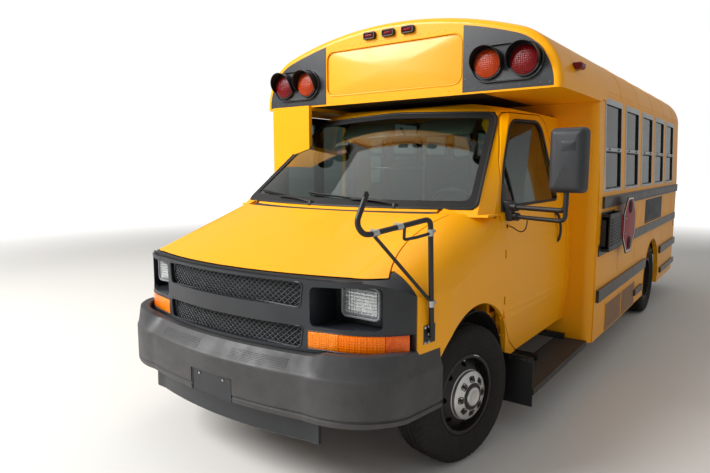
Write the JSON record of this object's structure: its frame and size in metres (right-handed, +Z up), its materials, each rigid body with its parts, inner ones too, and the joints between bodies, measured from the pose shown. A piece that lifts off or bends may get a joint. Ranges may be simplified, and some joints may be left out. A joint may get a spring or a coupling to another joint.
{
  "type": "small school bus on a cutaway van chassis",
  "caption": "Short yellow bus: van nose and cab, riveted box body with side windows, twin-leaf entrance, rear door, folding stop arm and turning wheels.",
  "frame": {"origin": "on the ground, at the middle of the overall length and width: the one side mirror sticks out, so the bus's own middle plane is at x = -113.5 mm", "axes": "+Z up, the front faces -Y, the driver's side is +X"},
  "size_m": [2.647, 6.6708, 2.5598],
  "materials": {
    "black_paint": "gloss",
    "bus_yellow": "gloss enamel",
    "clear_glass": "polished",
    "dark_plastic": "moulded, textured",
    "lamp_glass": "moulded lens",
    "bare_metal": "mill finish",
    "chassis_steel": "satin",
    "cast_metal": "rough",
    "tyre_rubber": "moulded",
    "wheel_steel": "gloss",
    "seat_vinyl": "vinyl",
    "floor_rubber": "ribbed",
    "sign_red": "reflective"
  },
  "bodies": {
    "chassis": {"frame_rails": "chassis_steel", "crossmembers": "chassis_steel", "engine": "cast_metal", "fuel_tank": "chassis_steel", "exhaust": "chassis_steel", "rear_axle": "cast_metal", "front_suspension": "chassis_steel", "cab_shell": "bus_yellow", "windshield": "clear_glass", "fenders": "bus_yellow", "cowl": "dark_plastic", "fascia": "dark_plastic", "grille": "dark_plastic", "headlamps": "lamp_glass", "front_bumper": "dark_plastic", "air_dam": "dark_plastic", "body_floor": "floor_rubber", "entry_steps": "floor_rubber", "left_side": "bus_yellow", "right_side": "bus_yellow", "roof": "bus_yellow", "window_frames": "bare_metal", "window_glass": "clear_glass", "rub_rails": "black_paint", "front_wall": "bus_yellow", "front_cap": "bus_yellow", "rear_wall": "bus_yellow", "rear_bumper": "black_paint", "warning_lamps": "lamp_glass", "entry_surround": "bus_yellow", "stop_arm_housing": "black_paint", "mirror_bracket": "black_paint", "dashboard": "dark_plastic", "seats": "seat_vinyl", "running_board": "black_paint"},
    "steer_left": {"knuckle_left": "cast_metal"},
    "steer_right": {"knuckle_right": "cast_metal"},
    "front_wheel_left": {"tyre_front_left": "tyre_rubber", "wheel_front_left": "wheel_steel"},
    "front_wheel_right": {"tyre_front_right": "tyre_rubber", "wheel_front_right": "wheel_steel"},
    "rear_wheels_left": {"tyres_rear_left": "tyre_rubber", "wheels_rear_left": "wheel_steel"},
    "rear_wheels_right": {"tyres_rear_right": "tyre_rubber", "wheels_rear_right": "wheel_steel"},
    "hood_lid": {"hood": "bus_yellow"},
    "door_left": {"driver_door": "bus_yellow", "driver_door_glass": "clear_glass", "mirror_left": "dark_plastic", "mirror_cable": "tyre_rubber"},
    "entry_front": {"entry_leaf_front": "black_paint", "entry_glass_front": "clear_glass"},
    "entry_rear": {"entry_leaf_rear": "black_paint", "entry_glass_rear": "clear_glass"},
    "rear_door": {"emergency_door": "bus_yellow", "emergency_door_glass": "clear_glass"},
    "stop_arm": {"stop_sign": "sign_red"}
  },
  "joints": [
    {"name": "steer", "type": "hinge", "parent": "chassis", "child": "steer_left", "pos_m": [0.6925, -2.3845, 0.372], "axis": [0, 0, 1], "range_deg": [-21, 45]},
    {"name": "steer_right_knuckle", "type": "hinge", "parent": "chassis", "child": "steer_right", "pos_m": [-0.9195, -2.3845, 0.372], "axis": [0, 0, 1], "range_deg": [-21, 45]},
    {"name": "spin_front_left", "type": "hinge", "parent": "steer_left", "child": "front_wheel_left", "pos_m": [0.6925, -2.3845, 0.372], "axis": [0.9781, -0.2079, 0], "continuous": true},
    {"name": "spin_front_right", "type": "hinge", "parent": "steer_right", "child": "front_wheel_right", "pos_m": [-0.9195, -2.3845, 0.372], "axis": [0.9781, -0.2079, 0], "continuous": true},
    {"name": "spin_rear_left", "type": "hinge", "parent": "chassis", "child": "rear_wheels_left", "pos_m": [0.7865, 1.6545, 0.372], "axis": [1, 0, 0], "continuous": true},
    {"name": "spin_rear_right", "type": "hinge", "parent": "chassis", "child": "rear_wheels_right", "pos_m": [-1.0135, 1.6545, 0.372], "axis": [1, 0, 0], "continuous": true},
    {"name": "hood_hinge", "type": "hinge", "parent": "chassis", "child": "hood_lid", "pos_m": [-0.1135, -2.2745, 1.295], "axis": [-1, 0, 0], "range_deg": [0, 45]},
    {"name": "driver_door_hinge", "type": "hinge", "parent": "chassis", "child": "door_left", "pos_m": [0.8795, -2.0225, 0.9], "axis": [0, 0, -1], "range_deg": [0, 65]},
    {"name": "entry_front_hinge", "type": "hinge", "parent": "chassis", "child": "entry_front", "pos_m": [-1.1155, -1.7295, 1.15], "axis": [0, 0, 1], "range_deg": [0, 85]},
    {"name": "entry_rear_hinge", "type": "hinge", "parent": "chassis", "child": "entry_rear", "pos_m": [-1.1155, -0.8595, 1.15], "axis": [0, 0, -1], "range_deg": [0, 85]},
    {"name": "rear_door_hinge", "type": "hinge", "parent": "chassis", "child": "rear_door", "pos_m": [-0.5975, 3.2235, 1.3], "axis": [0, 0, 1], "range_deg": [0, 110]},
    {"name": "stop_arm_hinge", "type": "hinge", "parent": "chassis", "child": "stop_arm", "pos_m": [1.1315, -0.2215, 1.096], "axis": [0, 0, -1], "range_deg": [0, 90]}
  ],
  "couplings": [
    {"joint": "steer_right_knuckle", "follows": "steer", "ratio": 1},
    {"joint": "entry_rear_hinge", "follows": "entry_front_hinge", "ratio": 1}
  ]
}
